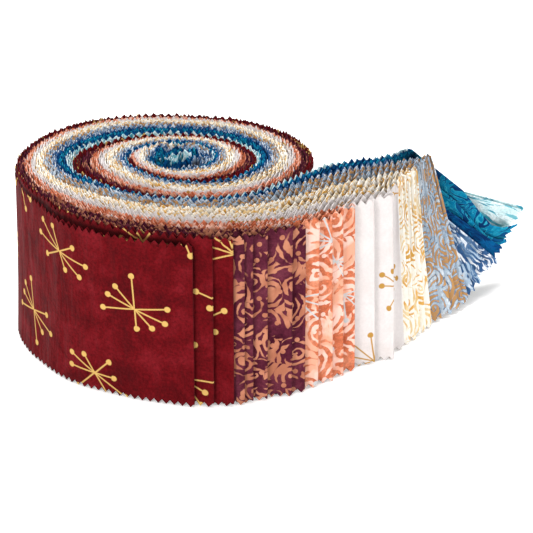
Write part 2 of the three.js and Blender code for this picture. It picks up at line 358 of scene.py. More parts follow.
@dataclass(frozen=True)
class BatikCotton:
    """Quilting calico: plain-woven cotton that was clouded with dye and printed by wax resist.

    The weave takes the gloss away and gives a fine grain, the dye clouds the ground, and the wax
    leaves figures with slightly wandering edges. The sheen is the short fuzz of the yarn.
    """

    name: str
    slot: str
    ground: str
    shade: str
    light: str
    figure: Figure = Figure.PLAIN
    ink: str = "#ffffff"
    ink_shade: str = "#ffffff"
    spacing: float = 14.0
    stroke: float = 4.6
    cover: float = 0.0
    star: StarPrint | None = None
    blots: float = 1.3
    blot_size: float = 0.7
    blot_detail: float = 1.5
    fade: float = 0.0
    # Painted shade: the tint that multiplies the cloth where its neighbours cover it.
    painted_shade_tint: str = "#857465"
    crease: float = 2.6
    # The round dots: their width, spacing in widths, rim in a cell, and value in and out of it.
    dots: float = 0.0
    dot_pitch: float = 3.4
    dot_rim: Pair = (0.1, 0.2)
    dot_height: Pair = (1.4, -1.6)
    outline: str = ""
    outline_at: float = 0.2
    cloud: float = 13.0
    ink_cloud: float = 0.7
    speckle: float = 0.2
    sheen: float = 0.01
    sheen_roughness: float = 0.5
    roughness: float = 0.86
    specular: float = 0.03
    # Low and high values that a noise seldom passes: of the dye, of the wax blots and of the ink.
    dye_band: Pair = (0.3, 0.7)
    blot_band: Pair = (0.25, 0.75)
    ink_band: Pair = (0.43, 0.57)
    edge_softness: float = 0.22
    # How far figures wander and how often they turn, in millimetres: scrolls, edges and currents.
    scroll_wander: float = 1.8
    edge_wander: Pair = (0.45, 2.2)
    current_wander: Pair = (0.6, 3.0)
    # The usual slope of the noise that the lines follow: with the stroke, it sets their number.
    current_slope: float = 0.6
    streak_wander: float = 3.0
    streak_slant: float = 24.0
    streak_contrast: float = 1.6
    # Figures thin out between these distances from the fold.
    fade_reach: Pair = (45.0, 110.0)
    # Flat heights where the pressed cloth ends and the free teeth start, and the painted shade
    # fades out.
    painted_shade_heights: Pair = (60.9, 62.8)
    crease_size: Pair = (9.0, 42.0)
    yarn_relief: float = 0.12
    # The yarns are 0.35 mm apart. They are drawn twice as coarse, or the render would lose them.
    yarn: float = 0.7

    def clouded(self, nodes: ClothNodes) -> Socket:
        """Draws the dyed ground.

        Args:
            nodes: The material's nodes.

        Returns:
            The ground's colour.
        """
        wide = nodes.add(
            "TexNoise",
            {
                "Vector": nodes.place,
                "Scale": 1 / self.cloud,
                "Detail": 5.0,
                "Roughness": 0.62,
                "Distortion": 0.4,
            },
            **FLAT,
        )
        ramp = nodes.add("ValToRGB", [wide])
        low, high = self.dye_band
        stops = ramp.node.color_ramp.elements
        stops[0].position, stops[0].color = low, linear(self.shade)
        stops[1].position, stops[1].color = high, linear(self.light)
        ground = stops.new(0.5)
        ground.color = linear(self.ground)
        grain = nodes.add(
            "TexNoise",
            {"Vector": nodes.place, "Scale": 1 / (1.6 * self.yarn), "Detail": 2.0, "Roughness": 0.7},
            **FLAT,
        )
        brightness = nodes.add(
            "MapRange", [grain, low, high, 1 - self.speckle, 1 + self.speckle], clamp=False
        )
        return nodes.add("VectorMath SCALE", {0: ramp, "Scale": brightness})

    def warped(self, nodes: ClothNodes, place: Socket, reach: float, size: float) -> Socket:
        """Moves a place by a soft random step, as a hand-drawn line wanders.

        Args:
            nodes: The material's nodes.
            place: The place.
            reach: The longest step in millimetres.
            size: How far apart the steps change, in millimetres.

        Returns:
            The moved place.
        """
        drift = nodes.add(
            "TexNoise", {"Vector": place, "Scale": 1 / size, "Detail": 1.0}, output="Color", **FLAT
        )
        step = nodes.add("VectorMath SUBTRACT", [drift, (0.5, 0.5, 0.5)])
        return nodes.add("VectorMath MULTIPLY_ADD", [step, (2 * reach, 2 * reach, 0), place])

    def scrolls(self, nodes: ClothNodes) -> Socket:
        """Draws spiral scrolls about scattered centres, broken up by blots of wax.

        Args:
            nodes: The material's nodes.

        Returns:
            A socket whose value is above 0 on the figures.
        """
        wandering = self.warped(nodes, nodes.place, self.scroll_wander, self.spacing)
        moved = self.warped(nodes, wandering, *self.edge_wander)
        scaled = nodes.add("VectorMath SCALE", {0: moved, "Scale": 1 / self.spacing})
        centre = nodes.add(
            "TexVoronoi",
            {"Vector": scaled, "Scale": 1.0, "Randomness": 0.85},
            output="Position",
            voronoi_dimensions="2D",
        )
        away = nodes.add("VectorMath SUBTRACT", [scaled, centre])
        apart = nodes.add("SeparateXYZ", [away])
        bearing = nodes.add("Math ARCTAN2", [apart.node.outputs[1], apart])
        chance = nodes.add("SeparateXYZ", [centre.node.outputs["Color"]])
        side = nodes.add("Math SUBTRACT", [chance, 0.5])
        hand = nodes.add("Math SIGN", [side])
        start = nodes.add("Math MULTIPLY", [chance.node.outputs[1], 2 * pi])
        coil = nodes.add("Math MULTIPLY_ADD", [bearing, hand, start])
        reach = centre.node.outputs["Distance"]
        rings = nodes.add("Math MULTIPLY_ADD", [reach, 2 * pi * self.spacing / self.stroke, coil])
        return self.blotted(nodes, nodes.add("Math SINE", [rings]), moved)

    def blotted(self, nodes: ClothNodes, wave: Socket, place: Socket) -> Socket:
        """Breaks lines up by blots of wax.

        Args:
            nodes: The material's nodes.
            wave: The lines' value.
            place: Where the blots are read.

        Returns:
            The value of the broken lines.
        """
        scale = 1 / (self.blot_size * self.spacing)
        blot = nodes.add(
            "TexNoise", {"Vector": place, "Scale": scale, "Detail": self.blot_detail}, **FLAT
        )
        bias = nodes.add("MapRange", [blot, *self.blot_band, -self.blots, self.blots], clamp=False)
        return nodes.add("Math ADD", [wave, bias])

    def streaks(self, nodes: ClothNodes) -> Socket:
        """Draws slanting broken streaks.

        Args:
            nodes: The material's nodes.

        Returns:
            A socket whose value is above 0 on the figures.
        """
        moved = self.warped(nodes, nodes.place, self.streak_wander, self.spacing)
        squeezed = nodes.add(
            "Mapping",
            {
                "Vector": moved,
                "Rotation": (0, 0, radians(self.streak_slant)),
                "Scale": (1 / self.stroke, 1 / self.spacing, 1),
            },
        )
        grain = nodes.add(
            "TexNoise", {"Vector": squeezed, "Scale": 1.0, "Detail": 3.0, "Roughness": 0.6}, **FLAT
        )
        contrast = self.streak_contrast
        return nodes.add("MapRange", [grain, *self.dye_band, -contrast, contrast], clamp=False)

    def currents(self, nodes: ClothNodes) -> Socket:
        """Draws thin lines that flow round each other like currents in water.

        Args:
            nodes: The material's nodes.

        Returns:
            A socket whose value is above 0 on the figures.
        """
        moved = self.warped(nodes, nodes.place, *self.current_wander)
        flow = nodes.add(
            "TexNoise",
            {"Vector": moved, "Scale": 1 / self.spacing, "Detail": 2.0, "Distortion": 1.1},
            **FLAT,
        )
        bands = 2 * pi * self.current_slope * self.spacing / self.stroke
        phase = nodes.add("Math MULTIPLY", [flow, bands])
        return self.blotted(nodes, nodes.add("Math SINE", [phase]), nodes.place)

    def dotted(self, nodes: ClothNodes, drawn: Socket) -> Socket:
        """Adds the round dots that a pin of hot wax leaves between the figures.

        Args:
            nodes: The material's nodes.
            drawn: The figures' value.

        Returns:
            The value with the dots.
        """
        spots = nodes.add(
            "TexVoronoi",
            {"Vector": nodes.place, "Scale": 1 / (self.dot_pitch * self.dots), "Randomness": 0.8},
            output="Distance",
            voronoi_dimensions="2D",
        )
        # A dot's value falls across its rim, and inside it outweighs the figures.
        dot = nodes.add("MapRange", [spots, *self.dot_rim, *self.dot_height])
        return nodes.add("Math MAXIMUM", [drawn, dot])

    def fading(self, nodes: ClothNodes, drawn: Socket) -> Socket:
        """Thins the figures away from the strip's fold, where the wax was laid more sparsely.

        Args:
            nodes: The material's nodes.
            drawn: The figures' value.

        Returns:
            The thinned figures' value.
        """
        run = nodes.add("SeparateXYZ", [nodes.place])
        within = nodes.add("Math MODULO", [run, RUN_STEP])
        off = nodes.add("Math SUBTRACT", [within, STRIP_LENGTH / 2])
        away = nodes.add("Math ABSOLUTE", [off])
        less = nodes.add("MapRange", [away, *self.fade_reach, 0.0, self.fade])
        return nodes.add("Math SUBTRACT", [drawn, less])

    def figured(self, nodes: ClothNodes, ground: Socket) -> Socket:
        """Lays the wax-resist figures over the ground.

        Args:
            nodes: The material's nodes.
            ground: The ground's colour.

        Returns:
            The colour with the figures.
        """
        if self.figure is Figure.PLAIN:
            return ground
        drawn = {
            Figure.SCROLLS: self.scrolls, Figure.STREAKS: self.streaks, Figure.CURRENTS: self.currents
        }[self.figure](nodes)
        if self.dots:
            drawn = self.dotted(nodes, drawn)
        if self.fade:
            drawn = self.fading(nodes, drawn)
        soft = self.edge_softness
        mask = nodes.add("MapRange", [drawn, -self.cover - soft, -self.cover + soft])
        scale = 1 / (self.ink_cloud * self.cloud)
        tint = nodes.add("TexNoise", {"Vector": nodes.place, "Scale": scale, "Detail": 3.0}, **FLAT)
        tinted = nodes.add("MapRange", [tint, *self.ink_band])
        inks = {FROM: linear(self.ink), TO: linear(self.ink_shade)}
        ink = nodes.add("Mix", {0: tinted, **inks}, **COLOUR_MIX)
        coloured = nodes.add("Mix", {0: mask, FROM: ground, TO: ink}, **COLOUR_MIX)
        if not self.outline:
            return coloured
        # Dye gathers at the wax's edge, which draws a darker line round each figure.
        edge = nodes.add("Math COMPARE", [drawn, -self.cover - self.outline_at, soft])
        return nodes.add("Mix", {0: edge, FROM: coloured, TO: linear(self.outline)}, **COLOUR_MIX)

    def paint_shade_between_turns(self, nodes: ClothNodes, colour: Socket) -> Socket:
        """Paints shade into the colour where the cloth lies pressed between its neighbours.

        The painted shade stands for the shade deep between the turns and beside each neighbour's
        fold, and fades out below the teeth that stand free.

        Args:
            nodes: The material's nodes.
            colour: The cloth's colour.

        Returns:
            The deepened colour.
        """
        # Painted shade: the neighbours' cover, faded out towards the free teeth, weights a dark tint.
        parts = nodes.add("SeparateXYZ", [nodes.place])
        below = nodes.add("MapRange", [parts.node.outputs[1], *self.painted_shade_heights, 1.0, 0.0])
        painted_shade_cover = nodes.add("Math MULTIPLY", [parts.node.outputs[2], below])
        tint = linear(self.painted_shade_tint)
        return nodes.add(
            "Mix", {0: painted_shade_cover, FROM: colour, TO: tint}, blend_type="MULTIPLY", **COLOUR_MIX
        )

    def woven(self, nodes: ClothNodes) -> Socket:
        """Raises the yarns and the soft creases of handled cloth.

        Args:
            nodes: The material's nodes.

        Returns:
            The bumped normal.
        """
        fine = nodes.add(
            "TexNoise", {"Vector": nodes.place, "Scale": 1 / self.yarn, "Detail": 1.0}, **FLAT
        )
        run, rise = self.crease_size
        tall = nodes.add("Mapping", {"Vector": nodes.place, "Scale": (1 / run, 1 / rise, 1)})
        crease = nodes.add(
            "TexNoise", {"Vector": tall, "Scale": 1.0, "Detail": 3.0, "Roughness": 0.5}, **FLAT
        )
        grain = nodes.add("Bump", {"Height": fine, "Strength": 0.5, "Distance": self.yarn_relief * MM})
        return nodes.add(
            "Bump", {"Height": crease, "Normal": grain, "Strength": 0.8, "Distance": self.crease * MM}
        )

    def material(self) -> bpy.types.Material:
        """Makes the cloth's material."""
        cloth = bpy.data.materials.new(self.name)
        cloth.use_nodes = True
        nodes = ClothNodes(cloth.node_tree)
        shader = nodes.tree.nodes["Principled BSDF"]
        colour = self.figured(nodes, self.clouded(nodes))
        if self.star:
            mask = self.star.mask(nodes)
            colour = nodes.add("Mix", {0: mask, FROM: colour, TO: linear(self.star.ink)}, **COLOUR_MIX)
        # Painted shade between the turns and beside the folds.
        colour = self.paint_shade_between_turns(nodes, colour)
        nodes.tree.links.new(colour, shader.inputs["Base Color"])
        nodes.tree.links.new(self.woven(nodes), shader.inputs["Normal"])
        shader.inputs["Roughness"].default_value = self.roughness
        shader.inputs["Specular IOR Level"].default_value = self.specular
        shader.inputs["Sheen Weight"].default_value = self.sheen
        shader.inputs["Sheen Roughness"].default_value = self.sheen_roughness
        return cloth


BURGUNDY = BatikCotton(
    "burgundy_batik_with_gold_stars", "burgundy", "#5f0910", "#4e070d", "#6f131b", star=StarPrint(),
    cloud=12.0, speckle=0.24, sheen=0.04, painted_shade_tint="#8a7a78",
)
PLUM = BatikCotton(
    "plum_scroll_batik", "plum", "#552030", "#3f1322", "#6b313f", figure=Figure.SCROLLS, ink="#c28165",
    ink_shade="#ad6d54", cover=-0.4, spacing=13.0, stroke=2.3, blots=1.9, blot_size=0.55, fade=0.9,
    dots=1.9,
)
ORANGE = BatikCotton(
    "orange_scroll_batik_with_silver_stars", "orange", "#cb7250", "#b85e40", "#de9272",
    figure=Figure.SCROLLS, ink="#f5cdbe", ink_shade="#e9aa8e", cover=-0.15, stroke=2.7,
    blots=1.8, blot_size=0.6, dots=1.7,
    star=StarPrint(ink="#c8cbcd", spacing=34.0, share_of_cells=0.75, ray_width=0.5, ball_width=1.9),
)
WHITE = BatikCotton(
    "white_cotton_with_gold_stars", "white", "#dfd9d8", "#dbd4d2", "#e4dfdd",
    star=StarPrint(
        ink="#b98d45", spacing=33.0, share_of_cells=0.9, longest=12.0, ball_width=2.1, ray_width=0.5
    ),
    speckle=0.03, crease=0.9, painted_shade_tint="#beb3aa",
)
CREAM = BatikCotton(
    "cream_batik_with_ochre_scrolls", "cream", "#fbf7ee", "#f6efdf", "#fdfbf7", figure=Figure.SCROLLS,
    ink="#dfab55", ink_shade="#efd6a6", cover=-0.4, spacing=11.0, stroke=1.9, blots=1.5, speckle=0.05,
    crease=1.8,
)
BLUE_TAN = BatikCotton(
    "steel_blue_batik_with_tan_scrolls", "blue_tan", "#b4c4d3", "#8fa6bf", "#dae1e8",
    figure=Figure.SCROLLS, ink="#d09c5e", ink_shade="#b98d5e", cover=-0.3, spacing=13.0, stroke=2.0,
    blots=1.8, outline="#677c95",
)
SLATE = BatikCotton(
    "slate_blue_streaked_batik", "slate", "#395d89", "#22406d", "#6486ab", figure=Figure.STREAKS,
    ink="#eef2f8", ink_shade="#a3bad0", cover=-0.2, spacing=9.0, stroke=1.7, painted_shade_tint="#9a8c8a",
)
BLUE = BatikCotton(
    "deep_blue_batik", "blue", "#08457b", "#05325f", "#10609a", figure=Figure.CURRENTS, ink="#082d5c",
    ink_shade="#065a90", cover=-0.35, spacing=15.0, stroke=1.4, blots=0.9, blot_size=0.6,
    blot_detail=2.0, painted_shade_tint="#666b78",
)
TEAL = BatikCotton(
    "teal_batik_with_navy_currents", "teal", "#087aa2", "#065c88", "#2aa0b8", figure=Figure.CURRENTS,
    ink="#0a3565", ink_shade="#0c4e7e", cover=-0.25, spacing=15.0, stroke=1.2, blots=0.9,
    blot_size=0.6, blot_detail=2.0, outline="#2f9fba", painted_shade_tint="#666b78",
)
AQUA = BatikCotton(
    "pale_aqua_streaked_batik", "aqua", "#e4f4f5", "#c6e6ea", "#f3fbfb", figure=Figure.STREAKS,
    ink="#2f93ac", ink_shade="#7ac2ce", cover=-0.5, spacing=16.0, stroke=1.8, painted_shade_tint="#8fb0b4",
)


# The way the stack is wound


@dataclass
class Winding:
    """Plan lines of the stack: a spiral about the eye, and a tail that leaves it.

    A place on the line is its route: degrees back from the end of the winding where it is
    negative, and millimetres along the tail where it is positive.
    """

    bearing_step: float = 45.0
    first_bearing: float = -360.0
    radii: tuple[float, ...] = (
        2.0, 3.2, 4.6, 6.2, 7.8, 9.4, 10.8, 12.0,
        13.0, 13.8, 13.4, 14.2, 17.6, 16.4, 20.0, 26.3,
        29.3, 25.4, 23.2, 27.8, 37.0, 34.6, 38.2, 45.2,
        49.6, 45.2, 42.4, 50.2, 57.4, 59.2, 69.0, 82.0,
    )
    turn_gap: float = 0.4
    eye: float = 0.4
    face_angle: float = 975.0
    blend_angle: float = 45.0
    skew: float = -4.0
    tail_leaves: float = 685.0
    tail_reach: int = 150
    course_reach: float = 1.5
    bends: Table = ((0, 45.5), (16, 45), (30, 38), (50, 36), (62, 31), (160, 31))
    foot_spread: Table = (
        (-20, 28.8), (0, 28.8), (18, 31), (33, 37), (48, 44), (65, 53), (76, 59.5), (90, 57), (104, 57),
        (123, 55), (148, 50), (162, 44), (180, 42),
    )
    top_spread: Table = (
        (-20, 28.8), (0, 28.8), (18, 31), (33, 37), (48, 44), (65, 53), (76, 59), (85, 54), (106, 44),
        (123, 40), (180, 38),
    )
    winding_ease: Table = (
        (0, 1.2), (270, 1.5), (400, 1.4), (480, 1.7), (540, 1.9), (600, 1.6), (630, 1.5), (740, 1.1),
        (810, 0.9), (900, 0.85), (935, 1.05), (975, 1.7),
    )
    # How far the outer face leans out at its foot, by bearing.
    foot_lean: Table = ((780, 0), (880, 0.8), (932, 2.2), (955, 0.6), (970, -0.8), (1000, 0))
    tail_ease: Table = ((0, 1.7), (60, 1.65), (76, 1.5), (106, 1.4), (123, 1.3), (160, 1.1))
    # Where the strips end inside the roll: bearing, and the share of the stack that has ended.
    inner_ends: Table = (
        (-330, 1.0), (-230, 0.9), (-150, 0.8), (-60, 0.71), (20, 0.67), (70, 0.56), (92, 0.47),
        (115, 0.38), (140, 0.29), (165, 0.2), (190, 0.0),
    )
    # Where almost all have ended, the rest counts as no less than this, in place and in pitch.
    least_rest: Pair = (0.05, 0.2)
    tail_points: Array = field(init=False)
    tail_stations: Array = field(init=False)

    def __post_init__(self) -> None:
        """Draws the plan line of the tail's back face: round the roll, then by its headings."""
        start = self.face_angle - self.blend_angle - 360
        angles = np.arange(start, self.tail_leaves + 0.5, 1.0)
        points = [p for p in polar(angles, self.radius(angles) + self.turn_gap)]
        for along in range(self.tail_reach):
            heading = np.radians(read_table(self.bends, along + 0.5))
            points.append(points[-1] + np.array([np.cos(heading), np.sin(heading)]))
        self.tail_points = np.array(points)
        steps = np.linalg.norm(np.diff(self.tail_points, axis=0), axis=1)
        stations = np.concatenate([[0], np.cumsum(steps)])
        face = int(round(self.face_angle - 360 - start))
        self.tail_stations = stations - stations[face]

    def radius(self, angle: Array) -> Array:
        """Radius of the stack's outer face at a bearing, on a smooth curve through the table."""
        knots = np.array(self.radii)
        place = (np.asarray(angle, float) - self.first_bearing) / self.bearing_step
        index = np.clip(np.floor(place).astype(int), 0, len(knots) - 2)
        part = place - index
        before = knots[np.maximum(index - 1, 0)]
        start = knots[index]
        end = knots[index + 1]
        after = knots[np.minimum(index + 2, len(knots) - 1)]
        slope = end - before
        bend = 2 * before - 5 * start + 4 * end - after
        twist = 3 * start - before - 3 * end + after
        return 0.5 * (2 * start + slope * part + bend * part**2 + twist * part**3)

    def tail_at(self, along: Array, depth: Array) -> tuple[Array, Array, Array]:
        """Finds places on the tail.

        Args:
            along: Millimetres along the tail's back face.
            depth: Millimetres in front of that face.

        Returns:
            Plan points, the directions to the front and the directions along the tail.
        """
        lines = self.tail_points.T
        base, ahead, behind = (
            np.stack([np.interp(along + step, self.tail_stations, line) for line in lines], axis=-1)
            for step in (0, self.course_reach, -self.course_reach)
        )
        course = ahead - behind
        course /= np.linalg.norm(course, axis=-1, keepdims=True)
        front = np.stack([course[..., 1], -course[..., 0]], axis=-1)
        return base + front * depth[..., None], front, course

    def place(
        self, route: Array, share: float, height: Array, strips: int
    ) -> tuple[Array, Array, Array, Array]:
        """Finds places in the stack.

        Args:
            route: Where along the line.
            share: Where across the stack, from 0 at its front to 1 at its back.
            height: Part of the strip's width above the foot, from 0 to 1.
            strips: How many strips share the stack.

        Returns:
            Plan points, directions to the front and along, and the thickness that one strip has.
        """
        along = np.maximum(route, 0)
        back = np.minimum(route, 0)
        angle = self.face_angle + back
        foot, top = (read_table(table, along) for table in (self.foot_spread, self.top_spread))
        spread = foot * (1 - height) + top * height
        ease = read_table(self.tail_ease, along)
        depth = spread * (1 - share) ** ease
        tail_pitch = spread * ease * (1 - share) ** (ease - 1) / strips
        inner_angle = angle - 360
        inner_radius = self.radius(np.maximum(inner_angle, -360)) + self.turn_gap
        station = np.where(route < 0, np.radians(back) * inner_radius, along)
        station = np.maximum(station, self.tail_stations[0] + self.course_reach)

        outer = self.radius(np.maximum(angle, -360))
        inner = np.where(inner_angle < -360, self.eye, inner_radius)
        ended = read_table(self.inner_ends, angle)
        across = np.clip((share - ended) / np.maximum(1 - ended, self.least_rest[0]), 0, 1)
        wind_ease = read_table(self.winding_ease, angle)
        thickness = outer - inner
        radial = inner + thickness * (1 - across) ** wind_ease
        wind_pitch = thickness * wind_ease * (1 - across) ** (wind_ease - 1) / strips
        wind_pitch /= np.maximum(1 - ended, self.least_rest[1])
        # Over the last part of the winding, the spiral gives way to the tail's own line.
        leaving = smoothstep(-self.blend_angle, 0, back)
        bearing = angle + self.skew * leaving * (1 - across)
        outward = polar(bearing, np.ones_like(bearing))
        onward = np.stack([-outward[..., 1], outward[..., 0]], axis=-1)

        blend = np.where(route >= 0, 1.0, leaving)
        mix = blend[..., None]
        in_roll = (polar(bearing, radial), outward, onward)
        plan, front, course = (
            wound * (1 - mix) + straight * mix
            for wound, straight in zip(in_roll, self.tail_at(station, depth))
        )
        lean = read_table(self.foot_lean, angle + along) * (1 - height) ** 2
        front /= np.linalg.norm(front, axis=-1, keepdims=True)
        course /= np.linalg.norm(course, axis=-1, keepdims=True)
        pitch = wind_pitch * (1 - blend) + tail_pitch * blend
        return plan + polar(bearing, lean), front, course, pitch

    def inner_route(self, share: float) -> float:
        """Route of the inner end of the strip with this share."""
        by_share = tuple((-ended, bearing) for bearing, ended in self.inner_ends)
        return float(read_table(by_share, -share)) - self.face_angle


@dataclass
class Crumple:
    """The disturbed middle of the roll, where the strips' inner ends are stuffed together."""

    reach: float = 15.5
    calm_share: float = 0.45
    push: float = 1.8
    heave: float = 1.6
    # Waves of the push along x and along y: share, radians a millimetre by x and y, and phase.
    waves: tuple[tuple[tuple[float, float, float, float], ...], ...] = (
        ((1, 0, 0.52, 0.7), (0.6, 0.83, 0.31, 0), (0.35, 0, 1.7, -0.6)),
        ((1, 0.47, 0, -1.1), (0.6, -0.42, 0.9, 0), (0.35, 1.6, 0, 0.9)),
    )

    def strength(self, plan: Array) -> Array:
        """How far the disturbance reaches a plan point, from 1 in the eye to 0 outside."""
        return 1 - smoothstep(self.calm_share * self.reach, self.reach, np.linalg.norm(plan, axis=-1))

    def moved(self, plan: Array) -> Array:
        """Plan points pushed about by soft waves."""
        x, y = plan[..., 0], plan[..., 1]
        strength = self.strength(plan) * self.push
        pushes = [
            sum(part * np.sin(by_x * x + by_y * y + phase) for part, by_x, by_y, phase in waves)
            for waves in self.waves
        ]
        return plan + np.stack([push * strength for push in pushes], axis=-1)

    def lift(self, plan: Array) -> Array:
        """How far the top edge rises or sinks at plan points, by crossing waves."""
        x, y = plan[..., 0], plan[..., 1]
        wave = np.sin(0.45 * x + 0.8) * np.sin(0.5 * y - 0.4) + 0.5 * np.sin(0.95 * x - 0.7 * y)
        return wave * self.strength(plan) * self.heave


# The strips


@dataclass(frozen=True)
class LooseEnd:
    """One strip's cloth, and how its loose end lies.

    The strip runs straight to its pivot, and there it turns down in its own plane by its swing,
    as a card does in a hand of cards. Its foot drops by sink, its top stands higher by lift, or by
    wound_lift once it is in the roll, and its fold bends down by bow. The sheet is the number of
    the source's sheet that it stands for, or 0.
    """

    cloth: BatikCotton
    pivot: float
    swing: float = 0.0
    sink: float = 0.0
    lift: float = 0.0
    wound_lift: float = 0.0
    bow: float = 0.0
    sheet: int = 0


LOOSE_ENDS: tuple[LooseEnd, ...] = (
    LooseEnd(BURGUNDY, 18.0, lift=-1.6, wound_lift=0.6, sheet=1),
    LooseEnd(BURGUNDY, 22.0, lift=1.2, wound_lift=0.3, sheet=2),
    LooseEnd(BURGUNDY, 26.0, lift=0.4, wound_lift=0.5, sheet=3),
    LooseEnd(PLUM, 28.2, lift=-0.2, wound_lift=-0.6),
    LooseEnd(PLUM, 30.0, lift=0.6, wound_lift=-0.3),
    LooseEnd(PLUM, 33.0, lift=-0.6, wound_lift=-0.8, sheet=1),
    LooseEnd(PLUM, 38.0, lift=0.3, wound_lift=-0.4, sheet=2),
    LooseEnd(PLUM, 41.0, lift=-0.2, wound_lift=-0.6, sheet=3),
    LooseEnd(ORANGE, 44.3, lift=0.4, sheet=1),
    LooseEnd(ORANGE, 48.0, 0.5, lift=-0.4, sheet=2),
    LooseEnd(ORANGE, 51.5, 0.7, lift=0.5),
    LooseEnd(ORANGE, 57.0, 0.8, sheet=3),
    LooseEnd(WHITE, 65.5, 1.2, lift=-0.4, wound_lift=0.3, sheet=1),
    LooseEnd(WHITE, 74.5, 2.0, lift=0.4, sheet=2),
    LooseEnd(WHITE, 76.5, 2.6, lift=-0.2, wound_lift=0.4),
    LooseEnd(WHITE, 83.0, 3.5, lift=0.2, sheet=3),
    LooseEnd(CREAM, 87.0, 4.0, lift=-0.3, wound_lift=0.3),
    LooseEnd(CREAM, 90.5, 4.3, lift=0.3),
    LooseEnd(CREAM, 94.0, 4.5, lift=-0.2, wound_lift=0.4, sheet=1),
    LooseEnd(CREAM, 97.5, 5.0, lift=0.4, wound_lift=-0.2),
    LooseEnd(CREAM, 101.0, 5.6, lift=-0.2, wound_lift=0.3),
    LooseEnd(CREAM, 102.0, 6.0, sheet=2),
    LooseEnd(BLUE_TAN, 104.5, 9.0, lift=-0.4),
    LooseEnd(BLUE_TAN, 107.0, 11.5, lift=0.4),
    LooseEnd(BLUE_TAN, 109.5, 13.0, lift=0.2, wound_lift=-0.3, sheet=1),
    LooseEnd(BLUE_TAN, 111.5, 14.0, lift=0.6),
    LooseEnd(BLUE_TAN, 113.3, 15.0, lift=1.0, sheet=2),
    LooseEnd(SLATE, 107.0, 24.0, 1.0),
    LooseEnd(SLATE, 103.5, 31.0, 2.4, lift=0.4),
    LooseEnd(SLATE, 99.0, 41.5, 5.5, lift=-0.3, sheet=1),
    LooseEnd(SLATE, 99.0, 46.0, 8.0, lift=0.3, sheet=2),
    LooseEnd(BLUE, 98.0, 47.0, 8.0),
    LooseEnd(BLUE, 99.5, 50.0, 7.8, lift=0.3, sheet=1),
    LooseEnd(TEAL, 104.0, 48.0, 3.0, bow=4.0),
    LooseEnd(TEAL, 107.0, 50.0, lift=0.2, bow=6.0, sheet=1),
    LooseEnd(TEAL, 107.0, 49.5, bow=6.0),
    LooseEnd(BLUE, 107.0, 49.0, lift=0.3, bow=6.0),
    LooseEnd(AQUA, 106.0, 49.0, lift=0.4, wound_lift=-0.2, bow=6.0),
    LooseEnd(AQUA, 104.0, 64.0, 10.0, lift=-1.6, wound_lift=-1.0),
    LooseEnd(AQUA, 104.0, 65.0, 9.8, lift=-1.8, wound_lift=-1.2, sheet=1),
)


